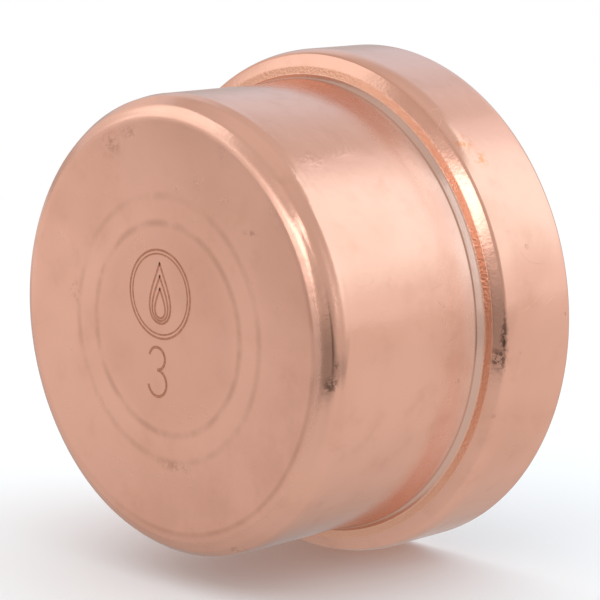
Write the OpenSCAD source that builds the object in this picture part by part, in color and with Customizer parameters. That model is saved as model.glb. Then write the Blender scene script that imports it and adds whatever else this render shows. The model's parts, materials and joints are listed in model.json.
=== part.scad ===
// Press-connect end cap for a 3 inch copper tube.
// A drawn copper cup widens at a shoulder into a collar. The collar holds, from the shoulder
// outwards, a rubber sealing ring, a separator ring and a toothed grip ring, behind a rolled lip.
// The axis is +Y, from the closed end to the mouth. The origin lies on the axis where the
// straight barrel meets the shoulder. Sections are drawn with x as the radius and y as the
// distance from the closed face.

/* [Tube] */
// Outside diameter of the tube that the cap closes
tube_d = 79.38; // [70:0.01:90]
// Gap all round between the tube and the barrel's bore
socket_gap = 0.22; // [0.1:0.01:0.4]

/* [Shell] */
// Thickness of the drawn wall
wall = 1.95; // [1.6:0.05:2.3]
// Thickness of the closed end
end_wall = 2.2; // [1.8:0.1:3.5]
// Outside radius of the corner between closed end and barrel
corner_r = 5; // [3.5:0.1:8]
// Length from the closed face to the end of the straight barrel
barrel_len = 36.3; // [25:0.1:60]
// How far the collar stands out from the barrel
collar_step = 5.86; // [5.5:0.01:7]
// Radius of the hollow bend where the barrel meets the shoulder
hollow_r = 1.2; // [0.8:0.1:1.6]
// Radius of the outer bend where the shoulder meets the collar
shoulder_r = 3.2; // [2.4:0.1:3.5]
// Length from the closed face to the mouth
total_len = 55.1; // [54.6:0.1:70]
// Outside radius of the mouth's edge
mouth_r = 1.1; // [0.5:0.1:1.8]
// Thickness of the lip that is rolled in at the mouth
lip_t = 1.7; // [1.2:0.1:2]
// Gap all round between the tube and the lip
lip_gap = 1.6; // [1:0.1:2]

/* [Sealing ring] */
// Gap all round between the tube and the sealing ring
seal_gap = 0.11; // [0.05:0.01:0.3]
// Length of the sealing ring along the axis
seal_len = 5.7; // [4:0.1:6]
// Number of shallow channels that let an unpressed joint leak in a test
channels = 8; // [3:1:12]
// Depth of each channel
channel_depth = 0.5; // [0.2:0.1:0.8]

/* [Separator ring] */
// Gap all round between the tube and the separator ring
separator_gap = 0.46; // [0.3:0.02:1]
// Thickness of the separator ring along the axis
separator_len = 1.8; // [1.2:0.1:2.2]
// Size of the bevels on its edges
separator_bevel = 0.35; // [0.1:0.05:0.5]

/* [Grip ring] */
// Gap all round between the tube and the tips of the teeth
tooth_gap = 0.36; // [0.2:0.02:0.8]
// Thickness of the grip ring's strip
grip_t = 1.1; // [0.8:0.1:1.3]
// Number of teeth
teeth = 48; // [24:1:60]
// Width of the slot between two teeth
slot_w = 1.6; // [0.8:0.1:2]
// Width of the split that lets the ring close when it is pressed
split_w = 3.5; // [2:0.1:6]

/* [Hidden] */
$fn = 96;

tube_r = tube_d / 2;
bore_r = tube_r + socket_gap;
barrel_r = bore_r + wall;
collar_r = barrel_r + collar_step;
chamber_r = collar_r - wall;

// The ring chamber runs from the shoulder's inner face to the lip's inner face.
chamber_start = barrel_len + hollow_r + wall;
chamber_end = total_len - lip_t;
fit_gap = 0.02;
end_float = 0.1;
ring_float = 0.2;
side_float = 0.4;

seal_start = chamber_start + end_float;
separator_start = seal_start + seal_len + ring_float;
grip_start = separator_start + separator_len + ring_float;
grip_end = chamber_end - ring_float;

seal_r = tube_r + seal_gap;
seal_bead_r = seal_len / 2;
channel_r = 3;
grip_r = chamber_r - side_float;
tip_r = tube_r + tooth_gap;
slot_end_r = tip_r + 2.6;

copper = [0.80, 0.52, 0.41];
rubber_black = [0.09, 0.09, 0.09];
plastic_grey = [0.22, 0.23, 0.24];
steel = [0.70, 0.71, 0.72];

// A solid block of revolution in section, from y0 to y1, with its lower outside corner rounded.
module block_section(r, y0, y1, round_r) {
    translate([0, y0]) square([r - round_r, y1 - y0]);
    translate([0, y0 + round_r]) square([r, y1 - y0 - round_r]);
    translate([r - round_r, y0 + round_r]) circle(round_r);
}

// The hollow bend: a square cut back by a circle whose centre lies outside the barrel.
module hollow_section(inset) {
    bend_r = hollow_r + inset;
    difference() {
        translate([barrel_r - inset, barrel_len]) square(bend_r);
        translate([barrel_r + hollow_r, barrel_len]) circle(bend_r);
    }
}

// Barrel, hollow bend and collar in section, solid to the axis and set in by inset.
module cup_section(inset, start, end) {
    shoulder_y = barrel_len + hollow_r + inset;
    block_section(barrel_r - inset, start, shoulder_y + 1, corner_r - inset);
    hollow_section(inset);
    block_section(collar_r - inset, shoulder_y, end, shoulder_r - inset);
}

// What is cut away to round the mouth's outside edge.
module mouth_round_section() {
    difference() {
        translate([collar_r - mouth_r, total_len - mouth_r]) square(2 * mouth_r);
        translate([collar_r - mouth_r, total_len - mouth_r]) circle(mouth_r);
    }
}

// The opening in the lip, which has a fully rounded edge.
module lip_opening_section() {
    lip_r = tube_r + lip_gap;
    difference() {
        translate([0, chamber_end - 1]) square([lip_r + lip_t / 2, lip_t + 2]);
        translate([lip_r + lip_t / 2, chamber_end + lip_t / 2]) circle(lip_t / 2);
    }
}

// Lays a shape that is drawn upright along the cap's axis, with the barrel's end at the origin.
module laid() {
    rotate([-90, 0, 0]) translate([0, 0, -barrel_len]) children();
}

// Turns a section about the cap's axis.
module turned() {
    laid() rotate_extrude() children();
}

module cap_body() {
    color(copper)
        turned()
            difference() {
                cup_section(0, 0, total_len);
                cup_section(wall, end_wall, chamber_end);
                mouth_round_section();
                lip_opening_section();
            }
}

// A round bead that touches the tube, backed by a flat heel that bears on the chamber wall.
module seal_section() {
    heel_len = 0.72 * seal_len;
    bead_centre = [seal_r + seal_bead_r, seal_start + seal_len / 2];
    translate(bead_centre) circle(seal_bead_r);
    translate([bead_centre[0], bead_centre[1] - heel_len / 2])
        square([chamber_r - fit_gap - bead_centre[0], heel_len]);
}

module sealing_ring() {
    channel_at = seal_r + channel_depth - channel_r;
    color(rubber_black)
        difference() {
            turned() seal_section();
            for (i = [0 : channels - 1])
                laid()
                    rotate([0, 0, 360 * i / channels])
                        translate([channel_at, 0, seal_start - 1])
                            cylinder(r = channel_r, h = seal_len + 2);
        }
}

module separator_ring() {
    inner_r = tube_r + separator_gap;
    b = separator_bevel;
    color(plastic_grey)
        turned()
            translate([inner_r, separator_start])
                polygon([
                    [b, 0], [grip_r - inner_r - b, 0],
                    [grip_r - inner_r, b], [grip_r - inner_r, separator_len - b],
                    [grip_r - inner_r - b, separator_len], [b, separator_len],
                    [0, separator_len - b], [0, b]
                ]);
}

// An outer band with teeth that lean inwards and towards the closed end.
module grip_section() {
    tip_flat = 0.5;
    root_depth = 1.5 * grip_t;
    polygon([
        [grip_r, grip_start], [grip_r, grip_end],
        [grip_r - grip_t, grip_end],
        [tip_r, grip_start + grip_t + tip_flat],
        [tip_r + tip_flat, grip_start + grip_t / 2],
        [grip_r - grip_t, grip_end - root_depth],
        [grip_r - grip_t, grip_start]
    ]);
}

module grip_ring() {
    strip_len = grip_end - grip_start + 2;
    color(steel)
        difference() {
            turned() grip_section();
            for (i = [0 : teeth - 1])
                laid()
                    rotate([0, 0, 360 * (i + 0.5) / teeth])
                        translate([0, -slot_w / 2, grip_start - 1])
                            cube([slot_end_r, slot_w, strip_len]);
            laid()
                translate([-split_w / 2, -collar_r, grip_start - 1])
                    cube([split_w, collar_r, strip_len]);
        }
}

cap_body();
sealing_ring();
separator_ring();
grip_ring();
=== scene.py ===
import json
import math

import bmesh
import bpy
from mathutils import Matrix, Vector, noise


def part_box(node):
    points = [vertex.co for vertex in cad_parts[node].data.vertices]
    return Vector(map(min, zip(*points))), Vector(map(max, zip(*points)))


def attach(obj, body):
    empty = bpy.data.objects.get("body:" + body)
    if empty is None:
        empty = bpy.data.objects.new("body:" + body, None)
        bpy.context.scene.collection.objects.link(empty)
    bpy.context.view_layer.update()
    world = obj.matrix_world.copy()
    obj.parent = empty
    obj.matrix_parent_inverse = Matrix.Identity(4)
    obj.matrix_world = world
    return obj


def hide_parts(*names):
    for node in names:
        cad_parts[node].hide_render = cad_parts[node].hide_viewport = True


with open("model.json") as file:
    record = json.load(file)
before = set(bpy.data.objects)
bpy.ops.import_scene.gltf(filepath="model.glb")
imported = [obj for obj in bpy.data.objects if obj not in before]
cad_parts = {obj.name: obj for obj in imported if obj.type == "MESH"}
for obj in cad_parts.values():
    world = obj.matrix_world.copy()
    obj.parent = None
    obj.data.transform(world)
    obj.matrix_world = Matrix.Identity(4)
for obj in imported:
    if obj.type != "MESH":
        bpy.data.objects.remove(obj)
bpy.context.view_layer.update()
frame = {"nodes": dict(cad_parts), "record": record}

MM = 0.001
TURN = 2 * math.pi

# ---------------------------------------------------------------- sizes, from the frame

shell_low, shell_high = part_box("cap_body")
mounts = {m["name"]: m for m in frame["record"]["mounts"]}

CLOSED_Y = shell_low.y
MOUTH_Y = shell_high.y
BORE_R = mounts["pipe_socket"]["dims"]["r_mm"] * MM
COLLAR_R = mounts["press_band"]["dims"]["r_mm"] * MM
TUBE_CLEARANCE = 0.22 * MM
LIP_CLEARANCE = 1.6 * MM

WALL = 1.95 * MM
END_WALL = 2.2 * MM
CORNER_R = 5.0 * MM
HOLLOW_R = 1.2 * MM
SHOULDER_R = 3.2 * MM
MOUTH_R = 1.1 * MM
LIP_T = 1.7 * MM
LIP_R = BORE_R - TUBE_CLEARANCE + LIP_CLEARANCE
BARREL_R = BORE_R + WALL
CHAMBER_R = COLLAR_R - WALL

# The closed face is set back by this much, so that the etched lines on it stay inside the part's box.
ETCH_ROOM = 0.03 * MM

# ---------------------------------------------------------------- camera

VIEW_AZIMUTH = math.radians(45.37)
VIEW_ELEVATION = math.radians(10.16)
VIEW_DISTANCE = 0.4464
FACE_LEFT_OF_VIEW = 0.0239
FACE_BELOW_VIEW = 0.0053
LENS = 150.6


def view_axes(azimuth, elevation):
    """Right, up and forward of a camera that stands at this azimuth and elevation."""
    sa, ca = math.sin(azimuth), math.cos(azimuth)
    se, ce = math.sin(elevation), math.cos(elevation)
    right = Vector((ca, sa, 0))
    up = Vector((-sa * se, ca * se, ce))
    forward = Vector((-sa * ce, ca * ce, -se))
    return right, up, forward


RIGHT, UP, FORWARD = view_axes(VIEW_AZIMUTH, VIEW_ELEVATION)


def make_camera():
    data = bpy.data.cameras.new("camera")
    data.lens = LENS
    data.clip_start = 0.01
    data.clip_end = 50
    camera = bpy.data.objects.new("camera", data)
    bpy.context.scene.collection.objects.link(camera)
    face_centre = Vector((0, CLOSED_Y, 0))
    aim = face_centre + RIGHT * FACE_LEFT_OF_VIEW + UP * FACE_BELOW_VIEW
    camera.location = aim - FORWARD * VIEW_DISTANCE
    camera.rotation_mode = "QUATERNION"
    camera.rotation_quaternion = FORWARD.to_track_quat("-Z", "Y")
    bpy.context.scene.camera = camera
    return camera


# ---------------------------------------------------------------- node helpers


class Graph:
    """A short way to write shader nodes: each call adds what it needs and returns an output."""

    def __init__(self, tree):
        self.tree = tree
        self.tree.nodes.clear()

    def add(self, kind, inputs=None, output=0, **settings):
        made = self.tree.nodes.new(kind)
        for key, value in settings.items():
            setattr(made, key, value)
        for key, value in (inputs or {}).items():
            if isinstance(value, bpy.types.NodeSocket):
                self.tree.links.new(value, made.inputs[key])
            else:
                made.inputs[key].default_value = value
        return made.outputs[output] if made.outputs else None

    def place(self):
        """The point in the object's own frame."""
        return self.add("ShaderNodeTexCoord", output="Object")

    def parts(self, vector):
        """X, Y and Z of a vector."""
        made = self.tree.nodes.new("ShaderNodeSeparateXYZ")
        self.tree.links.new(vector, made.inputs[0])
        return made.outputs

    def math(self, operation, a, b=0.0):
        return self.add("ShaderNodeMath", {0: a, 1: b}, operation=operation)

    def joined(self, operation, first, others):
        for other in others:
            first = self.math(operation, first, other)
        return first

    def product(self, first, *others):
        return self.joined("MULTIPLY", first, others)

    def total(self, first, *others):
        return self.joined("ADD", first, others)

    def greatest(self, first, *others):
        return self.joined("MAXIMUM", first, others)

    def ramp(self, value, low, high, out_low=0.0, out_high=1.0):
        """Smoothly from out_low at low to out_high at high."""
        return self.add(
            "ShaderNodeMapRange",
            {0: value, 1: low, 2: high, 3: out_low, 4: out_high},
            interpolation_type="SMOOTHSTEP",
        )

    def fade(self, value, full, gone):
        """1 up to full, falling smoothly to 0 at gone."""
        return self.ramp(value, full, gone, 1.0, 0.0)

    def between(self, value, low, low_full, high_full, high):
        """1 from low_full to high_full, falling smoothly to 0 at low and at high."""
        return self.product(self.ramp(value, low, low_full), self.fade(value, high_full, high))

    def beside(self, value, line, full, gone):
        """1 within full of a line, falling smoothly to 0 at gone on both sides of it."""
        return self.fade(self.math("ABSOLUTE", self.math("SUBTRACT", value, line)), full, gone)

    def near(self, vector, centre, radius, reach=(1.0, 1.0, 1.0)):
        """1 at centre, falling smoothly to 0 at radius times reach along each axis."""
        inverse = [1.0 / v for v in reach]
        away = self.add(
            "ShaderNodeVectorMath",
            {0: self.stretched(vector, inverse), 1: [c * v for c, v in zip(centre, inverse)]},
            output="Value", operation="DISTANCE",
        )
        return self.fade(away, 0.0, radius)

    def along(self, vector, direction):
        """How far a vector reaches along a direction."""
        both = {0: vector, 1: direction}
        return self.add("ShaderNodeVectorMath", both, output="Value", operation="DOT_PRODUCT")

    def stretched(self, vector, scale):
        return self.add("ShaderNodeVectorMath", {0: vector, 1: scale}, operation="MULTIPLY")

    def noise(self, vector, scale, detail=3.0, rough=0.55, distortion=0.0):
        inputs = {"Vector": vector, "Scale": scale, "Detail": detail, "Roughness": rough}
        return self.add("ShaderNodeTexNoise", inputs | {"Distortion": distortion})

    def blend(self, factor, a, b):
        return self.add("ShaderNodeMix", {0: factor, 6: a, 7: b}, output=2, data_type="RGBA")

    def bump(self, height, strength, distance):
        return self.add("ShaderNodeBump", {"Height": height, "Strength": strength, "Distance": distance})


def new_material(name):
    material = bpy.data.materials.new(name)
    material.use_nodes = True
    return material, Graph(material.node_tree)


def finish_material(graph, shader):
    graph.add("ShaderNodeOutputMaterial", {"Surface": shader})


def finish_surface(graph, colour, rough, **more):
    """Ends a material with the one kind of shader that all pieces share."""
    inputs = {"Base Color": colour, "Roughness": rough} | more
    finish_material(graph, graph.add("ShaderNodeBsdfPrincipled", inputs))


# ---------------------------------------------------------------- materials

COPPER = (0.95, 0.52, 0.385, 1)
COPPER_TARNISHED = (0.74, 0.37, 0.25, 1)
# For the closed face: darker in its middle, and painted shade towards its rim.
COPPER_FACE_DARKER = (0.78, 0.40, 0.29, 1)
COPPER_STAIN = (0.45, 0.20, 0.13, 1)
# Near-black, for painted shade.
COPPER_PAINTED_SHADE = (0.045, 0.018, 0.012, 1)
COPPER_ORANGE = (0.90, 0.33, 0.13, 1)
COPPER_FRESH = (1.0, 0.53, 0.35, 1)
COPPER_PALE = (0.93, 0.63, 0.52, 1)
COPPER_BURNISHED = (0.72, 0.49, 0.40, 1)
COPPER_CREASE_SHADE = (0.66, 0.28, 0.17, 1)
COPPER_STEP_SHADE = (0.62, 0.27, 0.17, 1)
COPPER_ETCHED = (0.50, 0.21, 0.13, 1)
COPPER_ETCHED_PALE = (0.68, 0.31, 0.20, 1)
# Takes the white glare off copper seen nearly edge on.
COPPER_GLARE = (0.80, 0.77, 0.75, 1)

RUBBER = (0.018, 0.018, 0.019, 1)
RUBBER_BLOOM = (0.05, 0.05, 0.052, 1)
PLASTIC = (0.09, 0.095, 0.10, 1)
PLASTIC_PALE = (0.13, 0.135, 0.14, 1)
STEEL = (0.60, 0.60, 0.61, 1)
STEEL_DULL = (0.48, 0.475, 0.47, 1)


def polar(radius, degrees, y):
    """A point at this radius and angle about the axis, counted from +X towards +Z."""
    a = math.radians(degrees)
    return (radius * math.cos(a), y, radius * math.sin(a))


def above_barrel(*heights):
    """Radii that stand these millimetres above the barrel's skin."""
    return [BARREL_R + height * MM for height in heights]


# The flat of the closed face ends at this radius.
FACE_EDGE_R = 37.0 * MM

# Radius, reach and strength of each ring on the closed face.
WITNESS_RINGS = [(19.1 * MM, 1.125 * MM, 0.36), (24.0 * MM, 1.125 * MM, 0.26)]

# Centre, radius, reach along each axis, strength and colour of each mark and patch of painted shade on the
# shell.
MARKS_AND_SHADE = [
    # Painted shade on the corner and the bend of the shoulder: near-black where the copper reflects the dim
    # room.
    (polar(40.4 * MM, -6.4, -35.5 * MM), 1.9 * MM, (1, 1, 1.3), 0.85, COPPER_PAINTED_SHADE),
    (polar(40.8 * MM, -3.0, -34.6 * MM), 1.0 * MM, (1, 1, 5.0), 0.55, COPPER_PAINTED_SHADE),
    (polar(45.7 * MM, -5.2, 1.0 * MM), 1.8 * MM, (1, 1, 1.6), 0.95, COPPER_PAINTED_SHADE),
    (polar(46.8 * MM, -1.5, 1.3 * MM), 1.2 * MM, (1, 1, 7.0), 0.85, COPPER_PAINTED_SHADE),
    # Orange scuffs of the forming rolls, and a worn patch of the barrel.
    (polar(47.7 * MM, 43.8, 4.1 * MM), 3.0 * MM, (1, 1, 1), 0.8, COPPER_ORANGE),
    (polar(47.7 * MM, 39.5, 5.6 * MM), 2.6 * MM, (1, 1, 1), 0.8, COPPER_ORANGE),
    (polar(41.9 * MM, 49.5, -26.0 * MM), 4.0 * MM, (1, 1, 1), 0.35, COPPER_TARNISHED),
    # Specks, a short scratch and a smear on the closed face.
    ((-14.2 * MM, CLOSED_Y, 32.0 * MM), 4.0 * MM, (1.0, 1.0, 0.8), 0.45, COPPER_STAIN),
    ((-9.0 * MM, CLOSED_Y, 34.5 * MM), 3.5 * MM, (1.2, 1.0, 0.6), 0.35, COPPER_STAIN),
    ((22.0 * MM, CLOSED_Y, 19.7 * MM), 1.1 * MM, (2.6, 1.0, 0.7), 0.55, COPPER_STAIN),
    ((1.5 * MM, CLOSED_Y, -24.6 * MM), 2.4 * MM, (2.6, 1.0, 0.6), 0.40, COPPER_STAIN),
    ((-25.0 * MM, CLOSED_Y, 4.0 * MM), 2.4 * MM, (1.0, 1.0, 1.6), 0.30, COPPER_STAIN),
    # Fresh metal and a brown streak low on the corner.
    (polar(40.6 * MM, -36.0, -34.4 * MM), 4.5 * MM, (1, 1, 1.5), 0.50, COPPER_FRESH),
    (polar(40.6 * MM, -68.0, -33.6 * MM), 1.5 * MM, (3.0, 1.6, 1), 0.60, COPPER_STAIN),
    # Specks on the collar and short marks on the barrel.
    (polar(47.7 * MM, 18.4, 8.8 * MM), 0.8 * MM, (1, 1, 1), 0.75, COPPER_STAIN),
    (polar(47.7 * MM, -3.7, 4.9 * MM), 0.7 * MM, (1, 1, 1), 0.60, COPPER_STAIN),
    (polar(47.7 * MM, 2.7, 16.9 * MM), 0.6 * MM, (1, 1, 1), 0.60, COPPER_STAIN),
    (polar(47.2 * MM, -18.7, 1.3 * MM), 1.2 * MM, (1, 1, 1), 0.60, COPPER_STAIN),
    (polar(41.9 * MM, -10.6, -4.6 * MM), 1.5 * MM, (1, 1.2, 0.5), 0.45, COPPER_STAIN),
]

# A dark line of painted shade along the fold of the corner: its radius, its middle and how far it runs.
FOLD_R = BARREL_R - 1.5 * MM
FOLD_MIDDLE = polar(BARREL_R, 4.0, -35.6 * MM)
FOLD_REACH = 10.5 * MM

# Where handling has roughened the skin: centre, radius and reach along each axis.
SCUFFED = [
    (polar(41.9 * MM, 49.8, -26.5 * MM), 2.6 * MM, (1, 1.8, 1)),
    (polar(41.9 * MM, 51.0, -18.0 * MM), 2.4 * MM, (1, 2.2, 1)),
    (polar(40.6 * MM, 46.0, -33.5 * MM), 3.0 * MM, (1, 1, 1)),
    (polar(40.5 * MM, 14.0, -34.5 * MM), 2.2 * MM, (1, 1, 3.0)),
    (polar(41.9 * MM, -8.0, -3.0 * MM), 2.4 * MM, (1, 1, 1)),
]

# The middle of the wrinkled part of the shoulder.
WRINKLED_Y = 0.8 * MM

COPPER_ROUGHNESS = 0.13


class Skin:
    """Where a point of the copper is, and the patterns that several of its layers share."""

    def __init__(self, g):
        self.place = g.place()
        self.x, self.y, self.z = g.parts(self.place)
        self.radius = g.math("SQRT", g.total(g.product(self.x, self.x), g.product(self.z, self.z)))
        self.on_face = g.fade(self.y, CLOSED_Y + 0.1 * MM, CLOSED_Y + 0.7 * MM)
        self.rubbed_step = g.between(self.radius, *above_barrel(1.15, 1.4, 2.6, 3.0))
        self.blotches = g.noise(self.place, 160.0, detail=4.0, rough=0.6)
        self.grain = g.noise(g.stretched(self.place, (1.0, 9.0, 1.0)), 420.0)
        self.hatch = g.noise(self.place, 2100.0, detail=1.0)
        self.pits = pits(g, self.place)
        self.scratches = scratches(g, self.place)


def pits(g, place):
    """Small specks, in clusters."""
    specks = g.add("ShaderNodeTexVoronoi", {"Vector": place, "Scale": 620.0})
    some = g.ramp(g.noise(place, 90.0), 0.56, 0.68)
    return g.product(g.fade(specks, 0.05, 0.11), some)


def scratches(g, place):
    """Hair scratches: thin level lines of a stretched noise, shown in patches."""
    field = g.noise(g.stretched(place, (1.0, 1.0, 3.0)), 55.0, detail=1.0, distortion=0.6)
    patches = g.ramp(g.noise(place, 70.0), 0.55, 0.65)
    return g.product(g.beside(field, 0.5, 0.0006, 0.0016), patches)


def tarnished_copper(g, skin):
    clouds = g.noise(skin.place, 38.0, detail=2.0)
    tarnish = g.total(
        g.product(g.ramp(clouds, 0.42, 0.68), 0.30),
        g.product(g.ramp(skin.blotches, 0.5, 0.75), 0.22),
    )
    return g.blend(tarnish, COPPER, COPPER_TARNISHED)


def face_tone_and_shade(g, skin, colour):
    """Darker in the face's middle; painted shade towards its edge, most of all low on the +X side."""
    middle = g.product(g.ramp(skin.radius, 15 * MM, 21 * MM, 0.38, 0.0), skin.on_face)
    colour = g.blend(middle, colour, COPPER_FACE_DARKER)

    # Painted shade: darker towards the rim, most of all low on the +X side.
    low_side = g.ramp(g.math("SUBTRACT", skin.x, skin.z), -10 * MM, 50 * MM)
    uneven = g.ramp(g.noise(skin.place, 120.0, detail=4.0, rough=0.6), 0.3, 0.7, 0.45, 1.0)
    outer = g.product(
        g.ramp(skin.radius, 14 * MM, FACE_EDGE_R, 0.15, 1.0),
        g.fade(skin.radius, FACE_EDGE_R, FACE_EDGE_R + 1.5 * MM),
    )
    colour = g.blend(g.product(outer, skin.on_face, low_side, uneven, 0.75), colour, COPPER_FACE_DARKER)

    # Painted shade along the rim of the face, low on the +X side, in the stain colour.
    edge = g.beside(skin.radius, FACE_EDGE_R, 0.1 * MM, 0.7 * MM)
    outside = g.fade(skin.y, CLOSED_Y + 0.5 * MM, CLOSED_Y + 2.0 * MM)
    return g.blend(g.product(edge, outside, low_side, uneven, 0.35), colour, COPPER_STAIN)


def punch_rings(g, skin, colour):
    """Two rings that the forming punch left on the closed face, broken up where they have worn."""
    rings = [
        g.product(g.beside(skin.radius, radius, 0.0, reach), strength)
        for radius, reach, strength in WITNESS_RINGS
    ]
    worn = g.ramp(g.noise(skin.place, 110.0, rough=0.6), 0.36, 0.60, 0.15, 1.0)
    return g.blend(g.product(g.greatest(*rings), worn, skin.on_face), colour, COPPER_STAIN)


# Marks of handling and wear, with painted shade on the corner and the shoulder.
def marks_and_painted_shade(g, skin, colour):
    patchy = g.ramp(g.noise(skin.place, 900.0, detail=4.0, rough=0.7), 0.46, 0.58)
    for centre, radius, reach, strength, tint in MARKS_AND_SHADE:
        spot = g.product(g.near(skin.place, centre, radius, reach), patchy, strength)
        colour = g.blend(spot, colour, tint)
    # Painted shade: a dark line along the fold of the corner.
    fold = g.beside(skin.radius, FOLD_R, 0.05 * MM, 0.20 * MM)
    fold = g.product(fold, g.near(skin.place, FOLD_MIDDLE, FOLD_REACH), 0.5)
    return g.blend(fold, colour, COPPER_PAINTED_SHADE)


def rolled_bands_and_shade(g, skin, colour):
    """The rolls' pale flare, burnished foot and step of fresh metal; painted shade in the crease and high
    up.
    """
    flare = g.between(skin.radius, *above_barrel(0.02, 0.25, 0.45, 0.55))
    colour = g.blend(g.product(flare, 0.3), colour, COPPER_PALE)
    foot = g.between(skin.radius, *above_barrel(0.35, 0.55, 1.2, 1.5))
    colour = g.blend(g.product(foot, 0.75), colour, COPPER_BURNISHED)
    # Painted shade in the crease.
    crease = g.beside(skin.radius, BARREL_R + 0.6 * MM, 0.04 * MM, 0.14 * MM)
    colour = g.blend(g.product(crease, 0.7), colour, COPPER_CREASE_SHADE)
    fresh = g.product(skin.rubbed_step, g.ramp(skin.hatch, 0.35, 0.65, 0.6, 1.0))
    colour = g.blend(fresh, colour, COPPER_FRESH)
    # High up, painted shade makes the step browner as far as the collar.
    high_up = g.ramp(skin.z, 22 * MM, 40 * MM)
    step = g.between(skin.radius, *above_barrel(1.15, 1.4), COLLAR_R - 0.9 * MM, COLLAR_R - 0.4 * MM)
    return g.blend(g.product(high_up, step, 0.35), colour, COPPER_STEP_SHADE)


def copper_roughness(g, skin):
    end_of_barrel = g.product(
        g.ramp(skin.y, -13 * MM, -6 * MM),
        g.between(skin.radius, *above_barrel(-0.6, -0.4, 0.45, 0.55)),
    )
    return g.total(
        COPPER_ROUGHNESS,
        g.product(g.ramp(skin.blotches, 0.3, 0.7), 0.07),
        g.product(skin.grain, 0.05),
        g.product(skin.on_face, 0.12),
        g.product(skin.rubbed_step, 0.18),
        g.product(end_of_barrel, 0.09),
        g.product(skin.scratches, 0.15),
    )


def copper_relief(g, skin):
    """How far the skin stands out, in millimetres."""
    fine = g.noise(skin.place, 1500.0, detail=2.0)
    wrinkles = g.product(fine, g.beside(skin.y, WRINKLED_Y, 0.2 * MM, 1.0 * MM))
    dents = g.noise(skin.place, 1100.0, rough=0.6)
    scuffs = g.greatest(*[g.near(skin.place, *scuff) for scuff in SCUFFED])
    return g.total(
        g.product(skin.grain, 0.012),
        g.product(fine, 0.006),
        g.product(skin.blotches, 0.05),
        g.product(wrinkles, 0.012),
        g.product(skin.pits, -0.004),
        g.product(skin.hatch, skin.rubbed_step, 0.10),
        g.product(dents, scuffs, 0.09),
        g.product(skin.scratches, -0.01),
    )


def copper_material():
    material, g = new_material("drawn_copper")
    skin = Skin(g)
    colour = tarnished_copper(g, skin)
    for layer in (face_tone_and_shade, punch_rings, marks_and_painted_shade, rolled_bands_and_shade):
        colour = layer(g, skin, colour)
    colour = g.blend(g.product(skin.pits, 0.45), colour, COPPER_TARNISHED)
    bump = g.bump(copper_relief(g, skin), 1.0, 1.0 * MM)
    glare = {"Specular Tint": COPPER_GLARE}
    finish_surface(g, colour, copper_roughness(g, skin), Normal=bump, Metallic=1.0, **glare)
    return material


def etched_material():
    material, g = new_material("etched_copper")
    uneven = g.noise(g.place(), 2500.0)
    colour = g.blend(g.ramp(uneven, 0.35, 0.7), COPPER_ETCHED, COPPER_ETCHED_PALE)
    rough = g.ramp(uneven, 0.3, 0.7, 0.38, 0.55)
    finish_surface(g, colour, rough, Metallic=1.0)
    return material


def rubber_material():
    material, g = new_material("black_rubber")
    place = g.place()
    bloom = g.noise(place, 220.0, detail=4.0)
    grit = g.noise(place, 2600.0, detail=2.0)
    colour = g.blend(g.ramp(bloom, 0.4, 0.75), RUBBER, RUBBER_BLOOM)
    rough = g.ramp(bloom, 0.3, 0.7, 0.42, 0.6)
    finish_surface(g, colour, rough, Normal=g.bump(grit, 0.5, 0.03 * MM))
    return material


def plastic_material():
    material, g = new_material("separator_plastic")
    mottle = g.noise(g.place(), 500.0, detail=4.0)
    colour = g.blend(g.ramp(mottle, 0.4, 0.7), PLASTIC, PLASTIC_PALE)
    rough = g.ramp(mottle, 0.3, 0.7, 0.45, 0.62)
    finish_surface(g, colour, rough, Normal=g.bump(mottle, 0.3, 0.03 * MM))
    return material


def steel_material():
    material, g = new_material("stainless_steel")
    place = g.place()
    grain = g.noise(g.stretched(place, (1.0, 12.0, 1.0)), 700.0)
    blotches = g.noise(place, 200.0)
    colour = g.blend(g.ramp(blotches, 0.4, 0.7), STEEL, STEEL_DULL)
    rough = g.ramp(grain, 0.3, 0.7, 0.22, 0.40)
    finish_surface(g, colour, rough, Normal=g.bump(grain, 0.4, 0.02 * MM), Metallic=1.0)
    return material


# ---------------------------------------------------------------- mesh helpers

# Two points closer than this are one, and a point this close to the axis is on it.
SAME_POINT = 1e-7
ON_AXIS = 1e-9


def arc(centre_r, centre_y, radius, start, end, steps):
    """Points of a circular arc in section, as (radius, y), angles in degrees from the radial direction."""
    points = []
    for i in range(steps + 1):
        a = math.radians(start + (end - start) * i / steps)
        points.append((centre_r + radius * math.cos(a), centre_y + radius * math.sin(a)))
    return points


def stretch(start, end, steps):
    """Evenly spaced points from start up to, and without, end."""
    return [
        (start[0] + (end[0] - start[0]) * i / steps, start[1] + (end[1] - start[1]) * i / steps)
        for i in range(steps)
    ]


def joined(*runs):
    """The runs as one list without repeated points."""
    points = []
    for run in runs:
        for p in run:
            if not points or math.dist(p, points[-1]) > SAME_POINT:
                points.append(p)
    return points


def densified(points, longest):
    """The same outline with no edge longer than this."""
    out = []
    for a, b in zip(points, points[1:]):
        steps = max(1, math.ceil(math.dist(a, b) / longest))
        out += stretch(a, b, steps)
    return out + [points[-1]]


def make_object(name, mesh, material, body):
    obj = bpy.data.objects.new(name, mesh)
    bpy.context.scene.collection.objects.link(obj)
    mesh.materials.append(material)
    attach(obj, body)
    return obj


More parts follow.
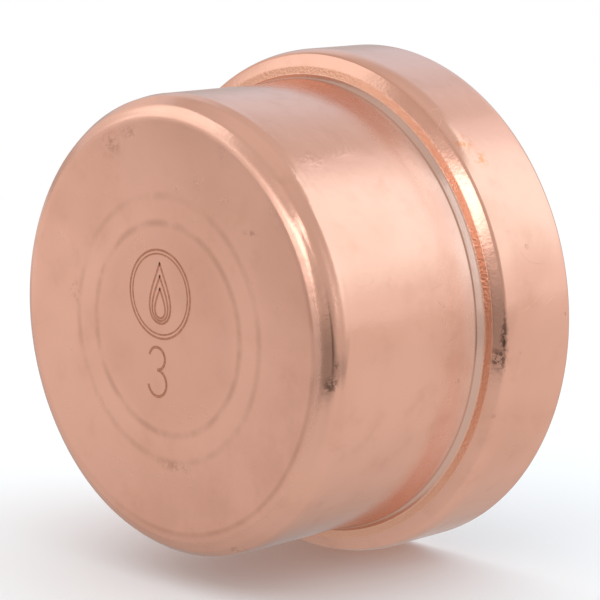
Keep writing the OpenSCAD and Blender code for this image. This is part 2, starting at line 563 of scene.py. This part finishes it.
def lathe(name, outline, turns, move):
    """Turns an outline of (radius, y) points about the Y axis. Points on the axis become one vertex."""
    verts, rows, faces = [], [], []
    for r, y in outline:
        count = 1 if r < ON_AXIS else turns
        row = []
        for j in range(count):
            a = TURN * j / turns
            p = Vector((r * math.cos(a), y, r * math.sin(a)))
            row.append(len(verts))
            verts.append(move(p, r, y, a))
        rows.append(row)
    for low, high in zip(rows, rows[1:]):
        for j in range(turns):
            k = (j + 1) % turns
            quad = [low[j % len(low)], low[k % len(low)], high[k % len(high)], high[j % len(high)]]
            unique = list(dict.fromkeys(quad))
            if len(unique) > 2:
                faces.append(unique)
    mesh = bpy.data.meshes.new(name)
    mesh.from_pydata(verts, [], faces)
    bm = bmesh.new()
    bm.from_mesh(mesh)
    bmesh.ops.recalc_face_normals(bm, faces=bm.faces)
    bm.to_mesh(mesh)
    bm.free()
    for polygon in mesh.polygons:
        polygon.use_smooth = True
    return mesh


# ---------------------------------------------------------------- the drawn shell


def inner_shoulder():
    """The inside of the bend from barrel to collar: round the hollow, a flat step, round to the collar."""
    hollow = arc(BARREL_R + HOLLOW_R, 0, HOLLOW_R + WALL, 180, 90, 14)
    bend = arc(COLLAR_R - SHOULDER_R, HOLLOW_R + SHOULDER_R, SHOULDER_R - WALL, -90, 0, 18)
    return hollow + bend


# The outside of the shoulder as the rolls left it: the length of each piece in millimetres, before the
# whole line is scaled to end at the collar, and the slope in degrees at its end. The steep piece in the
# middle is the step that the bead of the rolling tool has rubbed.
SHOULDER_RUN = [
    (3.4, 9), (0.84, 16), (0.11, 42), (0.11, 42), (0.11, 24), (1.1, 22),
    (0.2, 80), (1.1, 80), (0.3, 70), (1.5, 66), (0.65, 20), (2.6, 0),
]
SHOULDER_START = -6.35 * MM
# About how long one short straight of that line is, in millimetres.
SHOULDER_STEP = 0.08


def rolled_shoulder():
    """The outside line of the shoulder, followed piece by piece from the barrel to the collar."""
    r, y, slope = 0.0, 0.0, 0.0
    points = [(r, y)]
    for length, end_slope in SHOULDER_RUN:
        steps = max(4, round(length / SHOULDER_STEP))
        for i in range(steps):
            a = math.radians(slope + (end_slope - slope) * (i + 0.5) / steps)
            r += math.sin(a) * length / steps
            y += math.cos(a) * length / steps
            points.append((r, y))
        slope = end_slope
    fit = (COLLAR_R - BARREL_R) / r
    return [(BARREL_R + pr * fit, SHOULDER_START + py * fit) for pr, py in points]


SHELL_TURNS = 384
LONGEST_EDGE = 0.9 * MM


def shell_outline():
    face_y = CLOSED_Y + ETCH_ROOM
    corner = arc(BARREL_R - CORNER_R, face_y + CORNER_R, CORNER_R, -90, 0, 36)
    mouth = arc(COLLAR_R - MOUTH_R, MOUTH_Y - MOUTH_R, MOUTH_R, 0, 90, 8)
    lip = arc(LIP_R + LIP_T / 2, MOUTH_Y - LIP_T / 2, LIP_T / 2, 90, 270, 12)
    inner_corner_r = CORNER_R - WALL
    floor_y = CLOSED_Y + END_WALL
    inner_corner = arc(BORE_R - inner_corner_r, floor_y + inner_corner_r, inner_corner_r, 0, -90, 12)
    outline = joined(
        [(0, face_y)], corner, rolled_shoulder(), mouth, lip,
        [(CHAMBER_R, MOUTH_Y - LIP_T)], inner_shoulder()[::-1], inner_corner, [(0, floor_y)],
    )
    return densified(outline, LONGEST_EDGE)


# Rings round the corner: the distance from one to the next, their depth, where across the corner they
# start, where up the barrel they stop, and how they wander on their way round. Only points this close to
# the outside skin have them.
RIPPLE = 2.3 * MM
RIPPLE_DEPTH = 0.040 * MM
RIPPLE_START = 0.5 * MM
RIPPLE_STOP = 2.0 * MM
RIPPLE_WANDER = 2.5
RIPPLE_WANDER_SCALE = 1.4
RIPPLE_SKIN = 0.8 * MM


def corner_ripple(r, y, a, outward):
    """Shallow rings that the draw radius of the die left round the corner of the closed end."""
    across = r - (BARREL_R - CORNER_R)
    up = y - (CLOSED_Y + ETCH_ROOM + CORNER_R)
    off_skin = abs(math.hypot(across, up) - CORNER_R)
    if across <= RIPPLE_START or up >= RIPPLE_STOP or off_skin >= RIPPLE_SKIN:
        return Vector()
    turned = math.atan2(up, across) * CORNER_R
    wander = noise.noise(Vector((math.cos(a), math.sin(a), 0)) * RIPPLE_WANDER_SCALE) * RIPPLE_WANDER
    depth = math.sin(TURN * turned / RIPPLE + wander) - 1.0
    fade = min(1.0, (RIPPLE_STOP - up) / RIPPLE_STOP, (across - RIPPLE_START) / (1.0 * MM))
    normal = outward * across + Vector((0, up, 0))
    return normal.normalized() * (depth * RIPPLE_DEPTH * fade)


# Waves in the skin of the shell: how close together and how high. They only go inwards from the CAD's
# size, they grow between these two radii of the closed face, and the bore has this share of them.
SKIN_WAVES = [(80.0, 0.020 * MM), (170.0, 0.006 * MM)]
WAVES_START_R = 36 * MM
WAVES_FULL_R = 40 * MM
BORE_SHARE = 0.3


def hand_made(p, r, y, a):
    """Moves a point of the shell by the hundredths of a millimetre that drawing and handling leave."""
    if r < ON_AXIS:
        return p
    side = max(0.0, min(1.0, (r - WAVES_START_R) / (WAVES_FULL_R - WAVES_START_R)))
    in_bore = r < BORE_R + 0.1 * MM and y > CLOSED_Y + 1.5 * MM
    share = side * (BORE_SHARE if in_bore else 1.0)
    rise = sum((noise.noise(p * often) - 1.0) * high for often, high in SKIN_WAVES)
    outward = Vector((math.cos(a), 0, math.sin(a)))
    return p + outward * (rise * share) + corner_ripple(r, y, a, outward)


def make_shell(material):
    mesh = lathe("copper_shell", shell_outline(), SHELL_TURNS, hand_made)
    shell = make_object("copper_shell", mesh, material, "cap")
    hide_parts("cap_body")
    return shell


# ---------------------------------------------------------------- etched marks on the closed face

# Places on the closed face are (x, z) from its centre. A line stands this far off the face, and one that
# crosses another stands higher.
ETCH_LIFT = 0.012 * MM
CROSSING_LIFT = 0.016 * MM
ETCH_LINE = 0.42 * MM

NUMERAL_PLACE = (-2.4 * MM, -8.0 * MM)
NUMERAL_HEIGHT = 9.0 * MM
NUMERAL_LINE = 0.55 * MM

# The generic mark: radius and line of each ring, and height of each drop and how far it sits below the
# centre.
MARK_PLACE = (-1.5 * MM, 6.2 * MM)
MARK_RINGS = [(8.0 * MM, ETCH_LINE), (7.3 * MM, 0.8 * ETCH_LINE)]
MARK_DROPS = [(11.0 * MM, -0.2 * MM), (8.2 * MM, 0.7 * MM), (5.4 * MM, 1.6 * MM)]


def ribbon(bm, points, width, closed=False, lift=ETCH_LIFT):
    """A flat line of this width along points given as (x, z) on the closed face."""
    y = CLOSED_Y + ETCH_ROOM - lift
    count = len(points)
    sides = []
    for i, p in enumerate(points):
        before = points[(i - 1) % count] if closed or i > 0 else p
        after = points[(i + 1) % count] if closed or i < count - 1 else p
        along = Vector((after[0] - before[0], after[1] - before[1])).normalized()
        half = Vector((-along.y, along.x)) * width / 2
        left = bm.verts.new((p[0] + half.x, y, p[1] + half.y))
        right = bm.verts.new((p[0] - half.x, y, p[1] - half.y))
        sides.append((left, right))
    last = count if closed else count - 1
    for i in range(last):
        a, b = sides[i], sides[(i + 1) % count]
        bm.faces.new((a[0], a[1], b[1], b[0]))


def ellipse(cx, cz, rx, rz, start, end, steps=36):
    points = []
    for i in range(steps + 1):
        a = math.radians(start + (end - start) * i / steps)
        points.append((cx + rx * math.cos(a), cz + rz * math.sin(a)))
    return points


def circle(cx, cz, radius, steps=72):
    return ellipse(cx, cz, radius, radius, 0, 360, steps)[:-1]


def numeral_three(bm):
    """The nominal size: an upper bow and a larger lower bow that meet in the middle."""
    cx, cz = NUMERAL_PLACE
    upper = 0.46 * NUMERAL_HEIGHT
    lower = NUMERAL_HEIGHT - upper
    top = ellipse(cx, cz + lower / 2, 0.43 * lower, upper / 2, 165, -90)
    low = ellipse(cx, cz - upper / 2, 0.50 * lower, lower / 2, 90, -170)
    ribbon(bm, top, NUMERAL_LINE)
    ribbon(bm, low, NUMERAL_LINE, lift=CROSSING_LIFT)


def drop_outline(cx, cz, height, steps=64):
    """A water drop: a round foot that draws in to a point at the top."""
    points = []
    for i in range(steps):
        t = TURN * i / steps
        x = 0.36 * height * math.sin(t) * math.sin(t / 2) ** 1.5
        z = 0.5 * height * math.cos(t)
        points.append((cx + x, cz + z))
    return points


def drop_mark(bm):
    """Three water drops, one in another, in a double ring."""
    cx, cz = MARK_PLACE
    for radius, line in MARK_RINGS:
        ribbon(bm, circle(cx, cz, radius), line, closed=True)
    for height, sunk in MARK_DROPS:
        ribbon(bm, drop_outline(cx, cz - sunk, height), ETCH_LINE, closed=True)


def make_marks(material):
    bm = bmesh.new()
    numeral_three(bm)
    drop_mark(bm)
    mesh = bpy.data.meshes.new("etched_marks")
    bm.to_mesh(mesh)
    bm.free()
    return make_object("etched_marks", mesh, material, "cap")


# ---------------------------------------------------------------- stage

RIGHT_FLAT = Vector((math.cos(VIEW_AZIMUTH), math.sin(VIEW_AZIMUTH), 0))
AWAY_FLAT = Vector((-math.sin(VIEW_AZIMUTH), math.cos(VIEW_AZIMUTH), 0))
FLOOR_WHITE = (0.93, 0.93, 0.93, 1)
FLOOR_R = 12.0
WHITE = (1, 1, 1, 1)

# The studio's soft lights, each painted over the ones before it: azimuths and elevations in degrees as
# from, to and how softly each end fades, then the tint and its strength. Azimuth 0 is behind the part
# and 90 on the right.
SOFT_LIGHTS = [
    # Right: the glow of the big key softbox, its left edge in two steps, and its bright upper part.
    ((60, 125, 25, 30), (0, 22, 20, 30), (0.95, 1.0, 1.05, 1), 1.0),
    ((32, 50, 10, 6), (32, 39, 6, 4), (0.95, 1.0, 1.06, 1), 0.9),
    ((50, 56, 8, 8), (30, 46, 12, 8), (1.0, 1.08, 1.2, 1), 0.75),
    ((64, 126, 12, 16), (22, 53, 16, 5), (1.2, 1.42, 1.55, 1), 1.0),
    # Behind: a cool window light.
    ((-70, 25, 25, 20), (18, 26, 12, 24), (0.86, 1.06, 1.30, 1), 0.95),
    # Left, towards the back: a second softbox with a long fading tail, and its bright end.
    ((-95, -30, 10, 50), (16, 32, 8, 12), (0.86, 0.88, 0.90, 1), 1.0),
    ((-101, -74, 5, 16), (15, 42, 5, 5), (1.25, 1.38, 1.45, 1), 1.0),
]

# Everywhere else: even light, a little more of it overhead, between these two elevations.
AMBIENT = 0.64
AMBIENT_OVERHEAD = 0.69
OVERHEAD = (50, 75)

# Left, towards the front: a small bright strip that leans about its middle azimuth.
STRIP = (2.8, 3.0, 3.2, 1)
STRIP_AZIMUTHS = (-146, -108, 6, 6)
STRIP_ELEVATIONS = (6, 15, 4, 4)
STRIP_MIDDLE = -128
STRIP_LEAN = 0.57

# In front: the dim room around the camera, from its edge to its full darkness.
ROOM = (0.25, 0.25, 0.25, 1)
ROOM_STRENGTH = 0.32
ROOM_AZIMUTHS = (150, 168)
ROOM_ELEVATIONS = (6, 22)


def mirrored_floor(g, aside, away, distance):
    """How bright the copper sees the table: more at the sides, less past its front and under the part."""
    level = g.total(
        g.ramp(aside, -0.04, 0.10, 0.66, 0.74),
        g.ramp(aside, 0.2, 0.8, 0.0, 0.06),
        g.ramp(aside, -0.50, -0.04, 0.26, 0.0),
    )
    depth = g.total(away, g.product(g.math("MINIMUM", aside, 0.0), 0.3))
    past_front = g.product(g.fade(depth, -0.19, -0.125), g.ramp(aside, 0.02, 0.25, 1.0, 0.25))
    lit = g.math("SUBTRACT", 1.0, g.product(past_front, 0.55))
    under_part = g.ramp(aside, -0.03, 0.03, 0.62, 0.92)
    return g.product(level, lit, g.ramp(distance, 0.005, 0.075, under_part, 1.0))


def floor_material():
    """A white table, pure white away from the part. The copper sees it greyer, as in a studio."""
    material, g = new_material("pale_floor")
    place = g.place()
    aside, away = g.along(place, RIGHT_FLAT), g.along(place, AWAY_FLAT)
    distance = g.add("ShaderNodeVectorMath", {0: place}, output="Value", operation="LENGTH")
    by_camera = g.add("ShaderNodeLightPath", output="Is Camera Ray")
    by_gloss = g.add("ShaderNodeLightPath", output="Is Glossy Ray")

    strength = g.total(g.product(by_gloss, mirrored_floor(g, aside, away, distance)), by_camera)
    glow = g.add("ShaderNodeEmission", {"Color": WHITE, "Strength": strength})
    matte = g.add("ShaderNodeBsdfDiffuse", {"Color": FLOOR_WHITE})
    glowing = g.total(g.product(g.ramp(distance, 0.07, 0.50), by_camera), by_gloss)
    finish_material(g, g.add("ShaderNodeMixShader", {0: glowing, 1: matte, 2: glow}))
    return material


def make_floor():
    bm = bmesh.new()
    bmesh.ops.create_circle(bm, cap_ends=True, radius=FLOOR_R, segments=96)
    mesh = bpy.data.meshes.new("floor")
    bm.to_mesh(mesh)
    bm.free()
    mesh.materials.append(floor_material())
    floor = bpy.data.objects.new("floor", mesh)
    floor.location = (0, 0, -COLLAR_R)
    bpy.context.scene.collection.objects.link(floor)
    return floor


def make_sun():
    """Very soft light from above that fills the floor and the hollow of the cap, unseen in the copper."""
    data = bpy.data.lights.new("overhead", "SUN")
    data.angle = math.radians(100)
    data.energy = 1.0
    light = bpy.data.objects.new("overhead", data)
    light.visible_glossy = False
    bpy.context.scene.collection.objects.link(light)
    return light


def window(g, angle, low, high, soft_low, soft_high):
    """1 between low and high in degrees, with soft edges outside them."""
    return g.between(angle, *map(math.radians, (low - soft_low, low, high, high + soft_high)))


def make_world():
    """The studio round the part, painted on the world."""
    world = bpy.data.worlds.new("studio")
    world.use_nodes = True
    bpy.context.scene.world = world
    g = Graph(world.node_tree)
    way = g.add("ShaderNodeTexCoord", output="Generated")
    azimuth = g.math("ARCTAN2", g.along(way, RIGHT_FLAT), g.along(way, AWAY_FLAT))
    elevation = g.math("ARCSINE", g.along(way, Vector((0, 0, 1))))

    light = g.ramp(elevation, *map(math.radians, OVERHEAD), AMBIENT, AMBIENT_OVERHEAD)
    for azimuths, elevations, tint, strength in SOFT_LIGHTS:
        mask = g.product(window(g, azimuth, *azimuths), window(g, elevation, *elevations), strength)
        light = g.blend(mask, light, tint)

    from_middle = g.math("SUBTRACT", azimuth, math.radians(STRIP_MIDDLE))
    leaning = g.total(elevation, g.product(from_middle, STRIP_LEAN))
    strip = g.product(window(g, azimuth, *STRIP_AZIMUTHS), window(g, leaning, *STRIP_ELEVATIONS))
    light = g.blend(strip, light, STRIP)

    in_front = g.ramp(g.math("ABSOLUTE", azimuth), *map(math.radians, ROOM_AZIMUTHS))
    low_down = g.fade(elevation, *map(math.radians, ROOM_ELEVATIONS))
    light = g.blend(g.product(in_front, low_down, ROOM_STRENGTH), light, ROOM)

    # The camera itself sees plain white.
    by_camera = g.add("ShaderNodeLightPath", output="Is Camera Ray")
    light = g.blend(by_camera, light, WHITE)
    background = g.add("ShaderNodeBackground", {"Color": light, "Strength": 1.0})
    g.add("ShaderNodeOutputWorld", {"Surface": background})
    return world


def make_stage():
    bpy.context.scene.view_settings.view_transform = "Standard"
    make_world()
    make_floor()
    make_sun()


# ---------------------------------------------------------------- assembly


def repaint(node, material):
    materials = frame["nodes"][node].data.materials
    materials.clear()
    materials.append(material)
    for polygon in frame["nodes"][node].data.polygons:
        polygon.material_index = 0


make_camera()
make_shell(copper_material())
make_marks(etched_material())
repaint("sealing_ring", rubber_material())
repaint("separator_ring", plastic_material())
repaint("grip_ring", steel_material())
make_stage()
